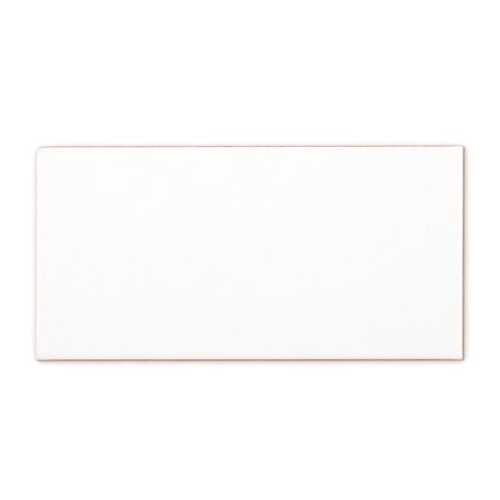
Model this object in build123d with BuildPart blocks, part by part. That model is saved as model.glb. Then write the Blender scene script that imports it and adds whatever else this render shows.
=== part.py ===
"""A flat rectangular wall tile, pressed from red clay, glazed on its face and fired as one piece.

The frame has its origin at the centre of the back, on the plane that the tile is bedded on.
+X runs along the length, +Y across the width and +Z out of the glazed face. Sizes are millimetres.

From the back to the face, the press leaves these forms:
  - a lattice of ribs, which the adhesive keys into, inside a plain flat border
  - a small chamfer round the back, where the lower punch meets the die
  - an upright band of bare clay, which spacers and grout bear on
  - sides that lean in above that band, so that the pressed tile leaves its die
  - a rounded arris, which the glaze runs over
  - a cushion edge, where the face falls away to all four sides in a wide shallow arc
"""

import os
from math import sqrt

from build123d import *

# The whole tile
length = 200.0
width = 100.0
thickness = 7.0

# Its outline and sides
corner_radius = 1.1
shoulder_height = 3.8
side_lean = 6.0
back_chamfer = 0.5

# The cushion edge of the face, and the arris outside it
cushion_width = 6.0
cushion_drop = 0.45
arris_radius = 0.5

# The lattice on the back
border_width = 6.0
rib_width = 3.0
cell_pitch = 20.0
pocket_depth = 0.8
pocket_lean = 30.0
pocket_corner_radius = 2.0

# The flat of the face ends where the cushion edge begins
flat_x = length / 2 - cushion_width
flat_y = width / 2 - cushion_width

# The arc leaves the flat level and falls by the drop across the cushion. Over a corner it goes on
# further down, to the corner's diagonal, so the cutter reaches past that.
cushion_radius = (cushion_width**2 + cushion_drop**2) / (2 * cushion_drop)
cutter_reach = 1.5 * cushion_width
cutter_drop = cushion_radius - sqrt(cushion_radius**2 - cutter_reach**2)
cutter_height = 1.0

# The cells share the room inside the border. They come in even numbers, so that two ribs cross at
# the centre of the back and the tile can stand on that point.
lattice_length = length - 2 * border_width + rib_width
lattice_width = width - 2 * border_width + rib_width
columns = 2 * round(lattice_length / cell_pitch / 2)
rows = 2 * round(lattice_width / cell_pitch / 2)
column_pitch = lattice_length / columns
row_pitch = lattice_width / rows

# The edge of the flat of the face, starting halfway along a side
with BuildLine(Plane.XY.offset(thickness)) as flat_outline:
    Polyline(
        (0, flat_y),
        (flat_x, flat_y),
        (flat_x, -flat_y),
        (-flat_x, -flat_y),
        (-flat_x, flat_y),
        (0, flat_y),
    )

# What the cushion edge leaves out, seen from the end of the tile: a wedge with the arc below it
with BuildSketch(Plane.YZ.shift_origin((0, flat_y, thickness))) as cushion_wedge:
    with BuildLine():
        arc = TangentArc((0, 0), (cutter_reach, -cutter_drop), tangent=(1, 0))
        Polyline(arc @ 1, (cutter_reach, cutter_height), (0, cutter_height), arc @ 0)
    make_face()

with BuildPart() as tile:
    # The upright band, then the leaning sides above it
    with BuildSketch():
        RectangleRounded(length, width, corner_radius)
    extrude(amount=shoulder_height)
    with BuildSketch(Plane.XY.offset(shoulder_height)):
        RectangleRounded(length, width, corner_radius)
    extrude(amount=thickness - shoulder_height, taper=side_lean)

    # The cushion edge, which turns about the corners of the flat
    sweep(
        cushion_wedge.sketch,
        path=flat_outline.wire(),
        transition=Transition.ROUND,
        mode=Mode.SUBTRACT,
    )

    # The arris, where the cushion edge meets the leaning sides
    arris = tile.edges().filter_by_position(
        Axis.Z, thickness - 2 * cushion_drop, thickness - cushion_drop / 2
    )
    fillet(arris, arris_radius)
    chamfer(tile.faces().sort_by(Axis.Z).first.edges(), back_chamfer)

    # The lattice: pockets pressed into the back, with the ribs left between them
    with BuildSketch():
        with GridLocations(column_pitch, row_pitch, columns, rows):
            RectangleRounded(
                column_pitch - rib_width, row_pitch - rib_width, pocket_corner_radius
            )
    extrude(amount=pocket_depth, taper=pocket_lean, mode=Mode.SUBTRACT)

tile.part.label = "tile"
os.makedirs("parts", exist_ok=True)
export_step(tile.part, "parts/tile.step")
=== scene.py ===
"""The look of a white-glazed wall tile of red clay, lying on a white table under soft light.

Lengths are in metres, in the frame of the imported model: +X along the tile, +Z out of its face.
The tile is one closed surface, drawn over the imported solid. It goes from the flat of the face over
the cushion edge, the arris and the sides to the ribbed back.
"""

import math

import bpy
import numpy as np
from mathutils import Matrix, Vector, noise


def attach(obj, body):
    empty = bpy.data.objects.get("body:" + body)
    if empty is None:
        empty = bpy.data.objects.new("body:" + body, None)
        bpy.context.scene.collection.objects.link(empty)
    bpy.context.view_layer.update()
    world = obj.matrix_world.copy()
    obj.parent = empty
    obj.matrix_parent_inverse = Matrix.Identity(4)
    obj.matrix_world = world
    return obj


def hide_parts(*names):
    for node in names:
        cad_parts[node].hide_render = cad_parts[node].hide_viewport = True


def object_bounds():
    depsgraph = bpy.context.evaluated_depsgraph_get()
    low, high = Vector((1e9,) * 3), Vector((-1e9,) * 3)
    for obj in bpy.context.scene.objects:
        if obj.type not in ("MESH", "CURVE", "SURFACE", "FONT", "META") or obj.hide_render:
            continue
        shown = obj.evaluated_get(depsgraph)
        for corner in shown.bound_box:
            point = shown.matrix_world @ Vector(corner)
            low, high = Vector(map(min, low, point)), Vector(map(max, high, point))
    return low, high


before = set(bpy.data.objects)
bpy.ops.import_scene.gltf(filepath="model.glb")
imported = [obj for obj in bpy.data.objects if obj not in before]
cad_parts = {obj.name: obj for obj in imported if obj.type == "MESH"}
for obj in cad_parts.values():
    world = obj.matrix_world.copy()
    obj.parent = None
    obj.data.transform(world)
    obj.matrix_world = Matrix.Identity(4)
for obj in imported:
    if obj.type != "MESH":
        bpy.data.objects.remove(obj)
cad_low, cad_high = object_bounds()

MM = 0.001

# The tile's sizes. The overall ones come from the frame.
half_x = cad_high.x
half_y = cad_high.y
face_level = cad_high.z
corner_radius = 1.1 * MM
shoulder_height = 3.8 * MM
side_lean = math.radians(6.0)
back_chamfer = 0.5 * MM
cushion_width = 6.0 * MM
cushion_drop = 0.45 * MM
arris_radius = 0.5 * MM
border_width = 6.0 * MM
rib_width = 3.0 * MM
pocket_depth = 0.8 * MM
pocket_lean = math.radians(30.0)
pocket_corner_radius = 2.0 * MM
columns = 10
rows = 4

flat_x = half_x - cushion_width
flat_y = half_y - cushion_width
cushion_radius = (cushion_width**2 + cushion_drop**2) / (2 * cushion_drop)
lattice_half_x = half_x - border_width + rib_width / 2
lattice_half_y = half_y - border_width + rib_width / 2
column_pitch = 2 * lattice_half_x / columns
row_pitch = 2 * lattice_half_y / rows

# How finely the surface is divided. The back has one step for two of the face and the sides.
cell_steps_x = 13
cell_steps_y = 15
steps_x = 2 * columns * cell_steps_x
steps_y = 2 * rows * cell_steps_y
turn_steps = 6
turn_zone = 1.8 * MM
cell_turn_steps = 3

# The glaze: where its edge lies on the arris of each side, how uneven that is, and how far it stands
# out from the clay. Near its rim it is painted whiter towards some sides, a painted highlight, and
# painted darker and warmer towards the one below 0, a painted shade. The sides are in the order of
# SIDES: bottom, right, top and left in the picture.
glaze_edge_angles = np.radians([23.0, 82.0, 15.0, 82.0])
glaze_edge_limit = math.pi / 2 - side_lean - math.radians(1.0)
glaze_edge_sway = math.radians(7.0)
glaze_edge_step = 0.06 * MM
# Painted highlight (above 0) and painted shade (below 0) on the glaze near the rim of each side
painted_rim_shading_by_side = np.array([-1.0, 1.0, 0.5, 0.6])

# Towards each corner the glaze has run further over the arris, and more of it has sprayed past
corner_run = math.radians(45.0)
corner_run_reach = 5.0 * MM
corner_spray = 2.4
corner_spray_reach = 7.0 * MM

# How much glaze has sprayed onto the bare clay of each side, just below the glaze's edge, and the
# shares of it that are left at the foot of the leaning side and at the top of the upright band
overspray = np.array([0.25, 1.9, 1.7, 0.8])
spray_above_shoulder = 0.4
spray_below_shoulder = 0.2

# How deep the waves of the glaze are, and the grain and the swells of the clay
glaze_wave = 0.022 * MM
clay_grain = 0.03 * MM
clay_swell = 0.02 * MM

# The top left corner of the tile is pressed in: how deep, and how far along and across the tile
dip_depth = 0.5 * MM
dip_length = 9 * MM
dip_width = 9 * MM

# Faint specks in the glaze, in millimetres from the middle of the face
glaze_specks = ((-63.0, 28.5), (-55.0, -1.5), (84.0, 10.5), (-91.5, -23.0), (-74.5, -21.5))

GLAZE = 0
CLAY = 1

# Each side of a loop, anticlockwise from the lower left corner: the way it runs, and the way out of it
SIDES = (((1, 0), (0, -1)), ((0, 1), (1, 0)), ((-1, 0), (0, 1)), ((0, -1), (-1, 0)))


def side_nodes(half, steps, turn, radius, zone):
    """The nodes of one side of a loop, from the middle of one corner to just short of the next.

    Each is (along, inward, turned): its place along the side, how far in from it the node lies, and
    how far the outline has turned there. The first and last steps cross the corners' arcs or, where
    the corners are sharp, a zone beside them.
    """
    reach = half - (radius or zone)
    middle = np.linspace(-reach, reach, steps - 2 * turn + 1)
    quarter = np.linspace(0, math.pi / 4, turn + 1)[1:]
    if radius:
        beyond = radius * np.sin(quarter)
        inward = radius * (1 - np.cos(quarter))
    else:
        beyond = zone * np.arange(1, turn + 1) / turn
        inward = 0 * beyond
    along = np.concatenate([-reach - beyond[::-1], middle, reach + beyond[:-1]])
    inward = np.concatenate([inward[::-1], 0 * middle, inward[:-1]])
    turned = np.concatenate([-quarter[::-1], 0 * middle, quarter[:-1]])
    return along, inward, turned


def loop(half_a, half_b, steps_a, steps_b, turn, radius=0.0, zone=0.0):
    """Points and outward directions round a rectangle, anticlockwise from its lower left corner."""
    points, outward = [], []
    for along, out in SIDES:
        level = along[1] == 0
        half, depth = (half_a, half_b) if level else (half_b, half_a)
        place, inward, turned = side_nodes(half, steps_a if level else steps_b, turn, radius, zone)
        points.append(np.outer(place, along) + np.outer(depth - inward, out))
        outward.append(np.outer(np.sin(turned), along) + np.outer(np.cos(turned), out))
    return np.concatenate(points), np.concatenate(outward)


class Shell:
    """A closed surface as it is built up, ring by ring, from the face round to the back.

    A point is (x, y, z, thin, rim shading, dust): thin is 1 where the glaze ends and 0 where it is
    full, the rim shading is how much whiter (above 0, a painted highlight) or darker (below 0, a
    painted shade) the glaze is painted near its rim, and dust is how much glaze spray or kiln wash the
    clay carries.
    """

    def __init__(self):
        self.points = []
        self.faces = []
        self.finishes = []

    def add(self, plan, height, thin=0.0, pooled=0.0, dust=0.0):
        """Adds a point for each row of plan, and returns their numbers."""
        start = len(self.points)
        values = [np.broadcast_to(value, len(plan)) for value in (height, thin, pooled, dust)]
        self.points.extend(np.column_stack([plan, *values]))
        return np.arange(start, len(self.points))

    def face(self, corners, finish):
        self.faces.append([int(c) for c in corners])
        self.finishes.append(finish)

    def band(self, first, second, finish):
        """Joins two rings of as many points. The second is nearer to the middle of the back."""
        for a, b, c, d in zip(first, second, np.roll(second, -1), np.roll(first, -1)):
            self.face((a, b, c, d), finish)

    def halve(self, first, second, finish):
        """Joins a ring to one with half as many points."""
        for k, (b, b_next) in enumerate(zip(second, np.roll(second, -1))):
            a, middle, a_next = first[2 * k], first[2 * k + 1], first[(2 * k + 2) % len(first)]
            self.face((a, b, middle), finish)
            self.face((middle, b, b_next), finish)
            self.face((middle, b_next, a_next), finish)

    def fill(self, ring, count_x, count_y, finish, upward):
        """Fills a ring with a grid, whose inner points blend the ring's four sides."""
        first, second, third = np.cumsum([count_x, count_y, count_x])
        grid = np.zeros((count_x + 1, count_y + 1), int)
        grid[:-1, 0] = ring[:first]
        grid[-1, :-1] = ring[first:second]
        grid[:0:-1, -1] = ring[second:third]
        grid[0, :0:-1] = ring[third:]
        places = np.array([self.points[n][:3] for n in grid.ravel()])
        places = places.reshape(count_x + 1, count_y + 1, 3)
        u = np.linspace(0, 1, count_x + 1)[1:-1, None, None]
        v = np.linspace(0, 1, count_y + 1)[None, 1:-1, None]
        across = (1 - u) * places[:1, 1:-1] + u * places[-1:, 1:-1]
        along = (1 - v) * places[1:-1, :1] + v * places[1:-1, -1:]
        low = (1 - u) * places[0, 0] + u * places[-1, 0]
        high = (1 - u) * places[0, -1] + u * places[-1, -1]
        inner = (across + along - (1 - v) * low - v * high).reshape(-1, 3)
        added = self.add(inner[:, :2], inner[:, 2])
        grid[1:-1, 1:-1] = added.reshape(count_x - 1, count_y - 1)
        for i in range(count_x):
            for j in range(count_y):
                corners = (grid[i, j], grid[i + 1, j], grid[i + 1, j + 1], grid[i, j + 1])
                self.face(corners if upward else corners[::-1], finish)


def face_height(plan):
    """The height of the cushioned face over points of the plan."""
    outside = np.maximum(np.abs(plan) - (flat_x, flat_y), 0)
    return face_level - cushion_radius + np.sqrt(cushion_radius**2 - (outside**2).sum(1))


def ripple(points, size, seed):
    """Smooth noise between -1 and 1 at each point, with bumps of about that size."""
    return np.array([noise.noise(Vector(p) / size + Vector((seed, 0, 0))) for p in points])


def arris_arcs(outline, outward):
    """The arris's section at each point of the outline: its centre and the angle where it starts.

    The centre is (outward distance, height). It lies an arris radius inside both the leaning side
    and the cushion edge, which is taken as straight over this short way.
    """
    reach = 1.3 * arris_radius
    step = 0.1 * MM
    inner = face_height(outline - (reach + step / 2) * outward)
    outer = face_height(outline - (reach - step / 2) * outward)
    start = np.arctan((inner - outer) / step)
    side_distance = -arris_radius + shoulder_height * math.sin(side_lean)
    face_distance = -arris_radius - reach * np.sin(start) + (inner + outer) / 2 * np.cos(start)
    turn = math.cos(side_lean) * np.cos(start) - math.sin(side_lean) * np.sin(start)
    out = (side_distance * np.cos(start) - face_distance * math.sin(side_lean)) / turn
    height = (face_distance * math.cos(side_lean) - side_distance * np.sin(start)) / turn
    return out, height, start


def by_side(outward, values):
    """A value for each outward direction, from one for each of the four sides."""
    return np.maximum(outward @ np.array([out for _, out in SIDES]).T, 0) ** 2 @ values


def near_corner(outline, reach):
    """1 at the corners of the outline, falling to 0 along the sides over a few times the reach."""
    away = np.hypot(half_x - np.abs(outline[:, 0]), half_y - np.abs(outline[:, 1]))
    return np.exp(-((away / reach) ** 2))


def glaze_edge(outline, outward):
    """The angle on the arris at which the glaze ends, at each point of the outline."""
    flat = np.column_stack([outline, 0 * outline[:, 0]])
    sway = 0.7 * ripple(flat, 7 * MM, 11) + 0.5 * ripple(flat, 2.2 * MM, 12)
    end = by_side(outward, glaze_edge_angles) + glaze_edge_sway * sway
    return np.minimum(end + corner_run * near_corner(outline, corner_run_reach), glaze_edge_limit)


def build_face(shell, outline, outward):
    """The glazed part: the flat of the face, the cushion edge and the upper part of the arris."""
    flat_edge, _ = loop(flat_x, flat_y, steps_x, steps_y, turn_steps, zone=turn_zone)
    out, centre_height, start = arris_arcs(outline, outward)
    arris_top = outline + (out + arris_radius * np.sin(start))[:, None] * outward
    ring = shell.add(flat_edge, face_level)
    shell.fill(ring, steps_x, steps_y, GLAZE, upward=True)
    # The glaze near the rim is painted whiter on some sides, a painted highlight, and darker on the
    # bottom one, a painted shade
    pooled = by_side(outward, painted_rim_shading_by_side)
    cushion_steps = 8
    for k in range(1, cushion_steps + 1):
        share = k / cushion_steps
        plan = flat_edge + share * (arris_top - flat_edge)
        following = shell.add(plan, face_height(plan), pooled=share**3 * pooled)
        shell.band(ring, following, GLAZE)
        ring = following
    end = glaze_edge(outline, outward)
    arris_steps = 6
    for k in range(1, arris_steps + 1):
        angle = start + k / arris_steps * (end - start)
        plan = outline + (out + arris_radius * np.sin(angle))[:, None] * outward
        height = centre_height + arris_radius * np.cos(angle)
        following = shell.add(plan, height, thin=k / arris_steps, pooled=pooled)
        shell.band(ring, following, GLAZE)
        ring = following
    return ring


def build_sides(shell, ring, outline, outward):
    """The bare clay from the glaze's edge down to the border of the back."""
    out, centre_height, _ = arris_arcs(outline, outward)
    end = glaze_edge(outline, outward)
    low_angle = math.pi / 2 - side_lean
    radius = arris_radius - glaze_edge_step
    flat = np.column_stack([outline, 0 * outline[:, 0]])
    spray = by_side(outward, overspray) * (1 + 0.5 * ripple(flat, 23 * MM, 6))
    spray += corner_spray * near_corner(outline, corner_spray_reach)
    for share in (0.06, 0.5, 1.0):
        angle = end + share * (low_angle - end)
        plan = outline + (out + radius * np.sin(angle))[:, None] * outward
        following = shell.add(plan, centre_height + radius * np.cos(angle), thin=1.0, dust=spray)
        shell.band(ring, following, CLAY)
        ring = following
    arris_foot = centre_height + radius * math.cos(low_angle)
    for share in (0.25, 0.5, 0.75, 1.0):
        height = arris_foot + share * (shoulder_height - arris_foot)
        inset = (height - shoulder_height) * math.tan(side_lean) + (1 - share) * glaze_edge_step
        dust = (1 - (1 - spray_above_shoulder) * share) * spray
        following = shell.add(outline - inset[:, None] * outward, height, thin=1.0, dust=dust)
        shell.band(ring, following, CLAY)
        ring = following
    softness = 0.12 * MM
    band_height = shoulder_height - back_chamfer
    lower = [(shoulder_height - softness, 0)]
    lower += [(back_chamfer + share * band_height, 0) for share in (0.75, 0.5, 0.25)]
    lower += [(back_chamfer + softness, 0), (back_chamfer - softness, softness)]
    lower += [(softness, back_chamfer - softness), (0, back_chamfer + softness)]
    for height, inset in lower:
        dust = spray_below_shoulder * height / shoulder_height * spray
        following = shell.add(outline - inset * outward, height, thin=1.0, dust=dust)
        shell.band(ring, following, CLAY)
        ring = following
    return ring


def build_cell(shell, border, centre):
    """One cell of the back: the ribs inside its border, then the pocket's wall and floor."""
    mouth_x = (column_pitch - rib_width) / 2
    mouth_y = (row_pitch - rib_width) / 2
    rim = 0.2 * MM
    foot = 0.35 * MM
    wall = math.tan(pocket_lean)
    levels = [(-rim, 0), (-0.35 * rim, 0.12 * rim), (0.5 * rim * wall, 0.5 * rim)]
    levels += [((pocket_depth - foot) * wall, pocket_depth - foot)]
    levels += [((pocket_depth - 0.3 * foot) * wall, pocket_depth - 0.25 * foot)]
    levels += [(pocket_depth * wall + 0.5 * foot, pocket_depth)]
    ring = border
    for inset, depth in levels:
        plan, _ = loop(
            mouth_x - inset, mouth_y - inset, cell_steps_x, cell_steps_y, cell_turn_steps,
            radius=pocket_corner_radius - inset,
        )
        following = shell.add(plan + centre, depth, dust=max(0, 1 - depth / rim))
        shell.band(ring, following, CLAY)
        ring = following
    shell.fill(ring, cell_steps_x, cell_steps_y, CLAY, upward=False)


def build_back(shell, ring):
    """The border of the back and the lattice inside it."""
    across = np.array([shell.points[n][:2] for n in ring])
    cell_zone = (rib_width + 2 * pocket_corner_radius) / 2
    border, _ = loop(
        column_pitch / 2, row_pitch / 2, cell_steps_x, cell_steps_y, cell_turn_steps, zone=cell_zone
    )
    nodes = {}

    def lattice_node(column, row, x, y):
        """The node at a place counted in steps, which neighbouring cells share."""
        if (column, row) not in nodes:
            nodes[column, row] = shell.add(np.array([[x, y]]), 0.0, dust=1.0)[0]
        return nodes[column, row]

    steps = [(k, 0) for k in range(cell_steps_x)]
    steps += [(cell_steps_x, k) for k in range(cell_steps_y)]
    steps += [(k, cell_steps_y) for k in range(cell_steps_x, 0, -1)]
    steps += [(0, k) for k in range(cell_steps_y, 0, -1)]
    for column in range(columns):
        for row in range(rows):
            centre_x = (column + 0.5) * column_pitch - lattice_half_x
            centre_y = (row + 0.5) * row_pitch - lattice_half_y
            centre = np.array([centre_x, centre_y])
            cell = [
                lattice_node(column * cell_steps_x + i, row * cell_steps_y + j, *(centre + place))
                for (i, j), place in zip(steps, border)
            ]
            build_cell(shell, cell, centre)
    last_x, last_y = columns * cell_steps_x, rows * cell_steps_y
    edge = [nodes[k, 0] for k in range(last_x)]
    edge += [nodes[last_x, k] for k in range(last_y)]
    edge += [nodes[k, last_y] for k in range(last_x, 0, -1)]
    edge += [nodes[0, k] for k in range(last_y, 0, -1)]
    inner = np.array([shell.points[n][:2] for n in edge])
    middle = (inner + np.roll(inner, -1, axis=0)) / 2
    fine = np.stack([inner, middle], 1).reshape(-1, 2)
    for share in (0.3, 0.65):
        following = shell.add(across + share * (fine - across), 0.0, dust=1.0)
        shell.band(ring, following, CLAY)
        ring = following
    shell.halve(ring, edge, CLAY)


def make_tile():
    """The whole surface as an object, with its points' thin, painted rim shading and dust as
    attributes.
    """
    shell = Shell()
    outline, outward = loop(half_x, half_y, steps_x, steps_y, turn_steps, radius=corner_radius)
    ring = build_face(shell, outline, outward)
    ring = build_sides(shell, ring, outline, outward)
    build_back(shell, ring)
    points = np.array(shell.points)
    mesh = bpy.data.meshes.new("glazed_tile")
    mesh.from_pydata(points[:, :3], [], shell.faces)
    mesh.polygons.foreach_set("material_index", shell.finishes)
    mesh.polygons.foreach_set("use_smooth", [True] * len(shell.faces))
    for name, values in zip(("thin", "pooled", "dust"), points[:, 3:].T):
        attribute = mesh.attributes.new(name, "FLOAT", "POINT")
        attribute.data.foreach_set("value", values.astype(np.float32))
    mesh.update()
    roughen(mesh, points)
    tile = bpy.data.objects.new("glazed_tile", mesh)
    bpy.context.scene.collection.objects.link(tile)
    return tile


def pressed_in(places):
    """How far the pressed corner is moved in, towards -Y, at each place."""
    along = np.clip((dip_length - half_x - places[:, 0]) / dip_length, 0, 1)
    across = np.clip((dip_width - half_y + places[:, 1]) / dip_width, 0, 1)
    return dip_depth * along**2 * across**2


def roughen(mesh, points):
    """Gives the glaze its waves and the clay its coarse surface, both cut into the tile's own box."""
    places = points[:, :3]
    glazed = (points[:, 3] < 1) & (places[:, 2] > shoulder_height)
    depth = np.zeros(len(places))
    glaze = places[glazed]
    wave = 0.5 + 0.35 * ripple(glaze, 19 * MM, 1) + 0.15 * ripple(glaze, 5 * MM, 2)
    depth[glazed] = glaze_wave * wave
    clay = places[~glazed]
    grain = 0.5 + 0.5 * ripple(clay, 1.3 * MM, 3)
    swell = 0.5 + 0.5 * ripple(clay, 9 * MM, 4)
    depth[~glazed] = clay_grain * grain + clay_swell * swell
    normals = np.empty(len(places) * 3, np.float32)
    mesh.vertex_normals.foreach_get("vector", normals)
    moved = places - depth[:, None] * normals.reshape(-1, 3)
    moved[:, 1] -= pressed_in(places)
    moved = np.clip(moved, cad_low, cad_high)
    mesh.vertices.foreach_set("co", moved.ravel().astype(np.float32))
    mesh.update()


class Nodes:
    """The nodes of a material or a world, made and linked in one call each."""

    def __init__(self, owner):
        self.owner = owner
        owner.use_nodes = True
        self.tree = owner.node_tree
        self.tree.nodes.clear()

    def add(self, kind, settings=None, **inputs):
        """A node with its settings, and its inputs as numbers, colours or other nodes' outputs.

        An input goes by its name, or by i and its number.
        """
        node = self.tree.nodes.new(kind)
        for name, value in (settings or {}).items():
            setattr(node, name, value)
        for name, value in inputs.items():
            socket = node.inputs[int(name[1:]) if name[1:].isdigit() else name.replace("_", " ")]
            if isinstance(value, bpy.types.NodeSocket):
                self.tree.links.new(value, socket)
            else:
                socket.default_value = value
        return node

    def place(self):
        """Where a point lies, in metres, in the frame of the model."""
        return self.add("ShaderNodeTexCoord").outputs["Object"]

    def vector(self, operation, *inputs):
        """The outputs of vector mathematics: "Vector" or, for a length or a distance, "Value"."""
        sockets = {f"i{number}": value for number, value in enumerate(inputs)}
        return self.add("ShaderNodeVectorMath", {"operation": operation}, **sockets).outputs

    def noise(self, size, detail=2.0, roughness=0.5, seed=0.0):
        """Noise from 0 to 1, with patches of about that size."""
        moved = self.vector("ADD", self.place(), (seed, seed, seed))["Vector"]
        pattern = self.add(
            "ShaderNodeTexNoise", Vector=moved, Scale=1 / size, Detail=detail, Roughness=roughness
        )
        return pattern.outputs[0]

    def ramp(self, value, low, high, to_low=0.0, to_high=1.0):
        """value, from low to high, as a smooth step from to_low to to_high."""
        settings = {"interpolation_type": "SMOOTHSTEP"}
        return self.add(
            "ShaderNodeMapRange", settings,
            Value=value, From_Min=low, From_Max=high, To_Min=to_low, To_Max=to_high,
        ).outputs[0]

    def math(self, operation, first, second):
        """Two numbers, put together."""
        return self.add("ShaderNodeMath", {"operation": operation}, i0=first, i1=second).outputs[0]

    def mix(self, factor, first, second):
        """The first colour, turning to the second as factor goes to 1."""
        node = self.add("ShaderNodeMix", {"data_type": "RGBA"}, i0=factor, i6=first, i7=second)
        return node.outputs[2]

    def attribute(self, name):
        """One of the values that Shell gives each point."""
        return self.add("ShaderNodeAttribute", {"attribute_name": name}).outputs["Fac"]

    def finish(self, surface, output="ShaderNodeOutputMaterial"):
        """Shows that surface, and returns the material or the world."""
        self.add(output, Surface=surface)
        return self.owner


def colour(red, green, blue):
    return (red, green, blue, 1.0)


def glaze_material():
    """White glaze, which thins over the arris until the clay shows through."""
    nodes = Nodes(bpy.data.materials.new("white_glaze"))
    cloud = nodes.ramp(nodes.noise(16 * MM, detail=4, roughness=0.6), 0.3, 0.7)
    white = nodes.mix(cloud, colour(0.934, 0.934, 0.93), colour(0.953, 0.953, 0.952))
    grain = nodes.noise(0.9 * MM, detail=2, seed=4.0)
    white = nodes.mix(nodes.ramp(grain, 0.3, 0.7, 0.0, 0.2), white, colour(0.88, 0.875, 0.865))
    place = nodes.place()
    # Painted shade: the glaze is painted darker and warmer towards -Y, the bottom of the picture
    along_y = nodes.add("ShaderNodeSeparateXYZ", i0=place).outputs["Y"]
    painted_shade_towards_bottom = nodes.ramp(along_y, 1.1 * half_y, -1.3 * half_y, 0.0, 0.7)
    white = nodes.mix(painted_shade_towards_bottom, white, colour(0.895, 0.885, 0.87))
    # Painted highlight and shade: near its rim the glaze is painted whiter on some sides, and darker
    # and warmer on the bottom one
    pooled = nodes.attribute("pooled")
    white = nodes.mix(nodes.ramp(pooled, 0.0, 1.0), white, colour(0.965, 0.965, 0.96))
    white = nodes.mix(nodes.ramp(pooled, 0.0, -1.0), white, colour(0.885, 0.825, 0.77))
    thin = nodes.attribute("thin")
    thins_from = 0.45
    bared = nodes.ramp(thin, thins_from, 1.0)
    pink = nodes.mix(bared, colour(0.86, 0.74, 0.68), colour(0.58, 0.36, 0.29))
    shown = nodes.mix(nodes.ramp(thin, thins_from, 0.95), white, pink)
    specks = 0.0
    for x, y in glaze_specks:
        away = nodes.vector("DISTANCE", place, (x * MM, y * MM, face_level))["Value"]
        specks = nodes.math("MAXIMUM", specks, nodes.ramp(away, 0.12 * MM, 0.35 * MM, 1.0, 0.0))
    shown = nodes.mix(nodes.math("MULTIPLY", specks, 0.35), shown, colour(0.60, 0.56, 0.52))
    peel = nodes.noise(2.6 * MM, detail=1)
    bump = nodes.add("ShaderNodeBump", Strength=0.25, Distance=0.006 * MM, Height=peel).outputs[0]
    roughness = nodes.ramp(nodes.noise(8 * MM, seed=3.0), 0.3, 0.7, 0.06, 0.1)
    shader = nodes.add(
        "ShaderNodeBsdfPrincipled", Base_Color=shown, Roughness=roughness, IOR=1.5, Normal=bump
    )
    return nodes.finish(shader.outputs[0])


def clay_material():
    """Fired red clay, matt and grainy, with glaze dust on its sides and kiln wash on its back."""
    nodes = Nodes(bpy.data.materials.new("red_biscuit"))
    cloud = nodes.ramp(nodes.noise(11 * MM, detail=3), 0.3, 0.7)
    body = nodes.mix(cloud, colour(0.56, 0.31, 0.25), colour(0.63, 0.365, 0.3))
    grain = nodes.ramp(nodes.noise(0.4 * MM, detail=3, seed=2.0), 0.35, 0.65)
    grained = nodes.mix(nodes.math("MULTIPLY", grain, 0.4), body, colour(0.71, 0.46, 0.38))
    grog = nodes.ramp(nodes.noise(0.7 * MM, detail=1, seed=5.0), 0.7, 0.76)
    specked = nodes.mix(nodes.math("MULTIPLY", grog, 0.45), grained, colour(0.32, 0.16, 0.12))
    patches = nodes.ramp(nodes.noise(3.5 * MM, detail=6, roughness=0.75, seed=7.0), 0.35, 0.75)
    dust = nodes.math("MULTIPLY", nodes.attribute("dust"), patches)
    washed = nodes.mix(nodes.math("MULTIPLY", dust, 0.7), specked, colour(0.80, 0.73, 0.67))
    height = nodes.noise(0.45 * MM, detail=3, roughness=0.6, seed=9.0)
    bump = nodes.add("ShaderNodeBump", Strength=0.7, Distance=0.12 * MM, Height=height).outputs[0]
    shader = nodes.add("ShaderNodeBsdfPrincipled", Base_Color=washed, Roughness=0.88, Normal=bump)
    return nodes.finish(shader.outputs[0])


def seen_by_camera(nodes):
    """Two values, 1 or 0: whether the camera sees a place straight, and whether in a reflection."""
    path = nodes.add("ShaderNodeLightPath").outputs
    mirrored = nodes.math("MAXIMUM", path["Is Glossy Ray"], path["Is Transmission Ray"])
    return path["Is Camera Ray"], mirrored


def under_tile(nodes, place):
    """1 right under the flat of the back, inside its chamfer, and 0 elsewhere."""
    parts = nodes.add("ShaderNodeSeparateXYZ", i0=nodes.vector("ABSOLUTE", place)["Vector"]).outputs
    under_x = nodes.math("LESS_THAN", parts["X"], half_x - back_chamfer)
    under_y = nodes.math("LESS_THAN", parts["Y"], half_y - back_chamfer)
    return nodes.math("MULTIPLY", under_x, under_y)


def table_material():
    """A table that photographs as pure white outside the tile's shadow.

    From below it isn't seen, and right under the tile it lets light through.
    """
    nodes = Nodes(bpy.data.materials.new("white_table"))
    place = nodes.place()
    squared = nodes.vector("MULTIPLY", place, (1, half_x / half_y, 1))["Vector"]
    far = nodes.ramp(nodes.vector("LENGTH", squared)["Value"], 1.15 * half_x, 4 * half_x)
    extra = nodes.mix(far, colour(0.14, 0.145, 0.14), colour(1.0, 1.0, 1.0))
    white = nodes.add("ShaderNodeBsdfDiffuse", Color=colour(1.0, 1.0, 1.0)).outputs[0]
    extra_white = nodes.add("ShaderNodeBsdfDiffuse", Color=extra).outputs[0]
    bright = nodes.add("ShaderNodeAddShader", i0=white, i1=extra_white).outputs[0]
    plain = nodes.add("ShaderNodeBsdfDiffuse", Color=colour(0.85, 0.85, 0.85)).outputs[0]
    straight, mirrored = seen_by_camera(nodes)
    seen = nodes.math("MAXIMUM", straight, mirrored)
    table = nodes.add("ShaderNodeMixShader", i0=seen, i1=plain, i2=bright).outputs[0]
    clear = nodes.add("ShaderNodeBsdfTransparent").outputs[0]
    unseen = nodes.math("SUBTRACT", 1.0, straight)
    lit_through = nodes.math("MULTIPLY", under_tile(nodes, place), unseen)
    underside = nodes.add("ShaderNodeNewGeometry").outputs["Backfacing"]
    through = nodes.math("MAXIMUM", underside, lit_through)
    return nodes.finish(nodes.add("ShaderNodeMixShader", i0=through, i1=table, i2=clear).outputs[0])


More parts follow.
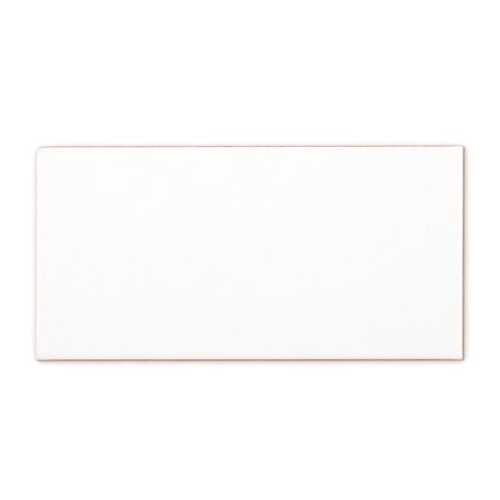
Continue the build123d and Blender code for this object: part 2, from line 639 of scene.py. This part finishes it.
def make_floor():
    """A white table, open under the tile so that light reaches the back when it is seen from below.

    It lies a little below the tile, and its opening is smaller, so that the gap between them is
    hidden in a view from above. The opening follows the pressed corner.
    """
    reach = 4.0
    drop = 0.015 * MM
    margin = 1.0 * MM
    steps = 120
    hole, _ = loop(
        half_x - margin, half_y - margin, steps, steps, turn_steps, radius=corner_radius - margin
    )
    hole[:, 1] -= pressed_in(hole)
    rim, _ = loop(reach, reach, steps, steps, turn_steps, zone=0.1 * reach)
    points = [(x, y, -drop) for x, y in np.concatenate([hole, rim])]
    count = len(hole)
    faces = [(k, k + count, (k + 1) % count + count, (k + 1) % count) for k in range(count)]
    mesh = bpy.data.meshes.new("table_top")
    mesh.from_pydata(points, [], faces)
    floor = bpy.data.objects.new("table_top", mesh)
    bpy.context.scene.collection.objects.link(floor)
    mesh.materials.append(table_material())


def make_lamp(name, place, width, height, share):
    """A soft rectangular lamp, aimed at the tile, which gives it that share of the plain level."""
    data = bpy.data.lights.new(name, "AREA")
    data.shape = "RECTANGLE"
    data.size = width
    data.size_y = height
    slant = abs(place.z) / place.length
    data.energy = share * math.pi**2 * place.length**2 / slant
    lamp = bpy.data.objects.new(name, data)
    lamp.location = place
    lamp.rotation_euler = place.to_track_quat("Z", "Y").to_euler()
    bpy.context.scene.collection.objects.link(lamp)


def make_world(share):
    """A white studio, whose own light is the given share of the plain level.

    The camera sees it as pure white. A reflection shows it so near the horizon, but not higher up.
    """
    nodes = Nodes(bpy.data.worlds.new("studio"))
    direction = nodes.add("ShaderNodeTexCoord").outputs["Generated"]
    rise = nodes.add("ShaderNodeSeparateXYZ", i0=direction).outputs["Z"]
    straight, mirrored = seen_by_camera(nodes)
    near_horizon = nodes.math("MULTIPLY", mirrored, nodes.ramp(rise, 0.05, 0.3, 1.0, 0.0))
    shown = nodes.math("MAXIMUM", straight, near_horizon)
    strength = nodes.ramp(shown, 0.0, 1.0, share, 1.0)
    white = colour(1.0, 1.0, 1.0)
    background = nodes.add("ShaderNodeBackground", Color=white, Strength=strength).outputs[0]
    bpy.context.scene.world = nodes.finish(background, "ShaderNodeOutputWorld")


def make_light():
    """A white studio with a softbox overhead, a little towards the top of the picture.

    Two long, faint softboxes stand low behind the tile and in front of it, for the glaze to mirror
    in a view from the side. One below lights the back, which only a view from below shows.
    """
    make_world(0.51)
    make_lamp("overhead_softbox", Vector((-0.03, 0.04, 0.8)), 0.75, 0.75, 0.57)
    make_lamp("back_strip", Vector((0.0, 1.3, 0.55)), 1.6, 0.25, 0.011)
    make_lamp("front_strip", Vector((0.95, -0.95, 0.4)), 1.4, 0.25, 0.011)
    make_lamp("lower_softbox", Vector((0.2, -0.3, -0.8)), 0.7, 0.7, 0.5)


# Where the tile lies in the 500 pixel picture, and the view's scale
frame_pixels = 500
tile_centre_x = 249.02
tile_centre_y = 252.95
tile_pixels = 430.0
camera_distance = 9.0
camera_right = math.radians(5.9)
camera_below = math.radians(3.0)
camera_roll = math.radians(0.2)


def make_camera():
    """A long lens that looks down on the tile, from slightly to the right of it and below it."""
    data = bpy.data.cameras.new("camera")
    data.sensor_width = 36.0
    pixel = 2 * half_x / tile_pixels
    data.lens = data.sensor_width * camera_distance / (frame_pixels * pixel)
    data.clip_end = 4 * camera_distance
    data.shift_x = (frame_pixels / 2 - tile_centre_x) / frame_pixels
    data.shift_y = (tile_centre_y - frame_pixels / 2) / frame_pixels
    camera = bpy.data.objects.new("camera", data)
    back = Vector((math.tan(camera_right), -math.tan(camera_below), 1.0)).normalized()
    right = Vector((0, 1, 0)).cross(back).normalized()
    camera.location = Vector((0, 0, face_level)) + camera_distance * back
    up = back.cross(right)
    level = math.cos(camera_roll) * right + math.sin(camera_roll) * up
    camera.rotation_euler = Matrix((level, back.cross(level), back)).transposed().to_euler()
    bpy.context.scene.collection.objects.link(camera)
    bpy.context.scene.camera = camera


make_camera()
make_light()
make_floor()
tile = make_tile()
tile.data.materials.append(glaze_material())
tile.data.materials.append(clay_material())
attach(tile, "root")
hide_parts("tile")
bpy.context.scene.view_settings.view_transform = "Standard"
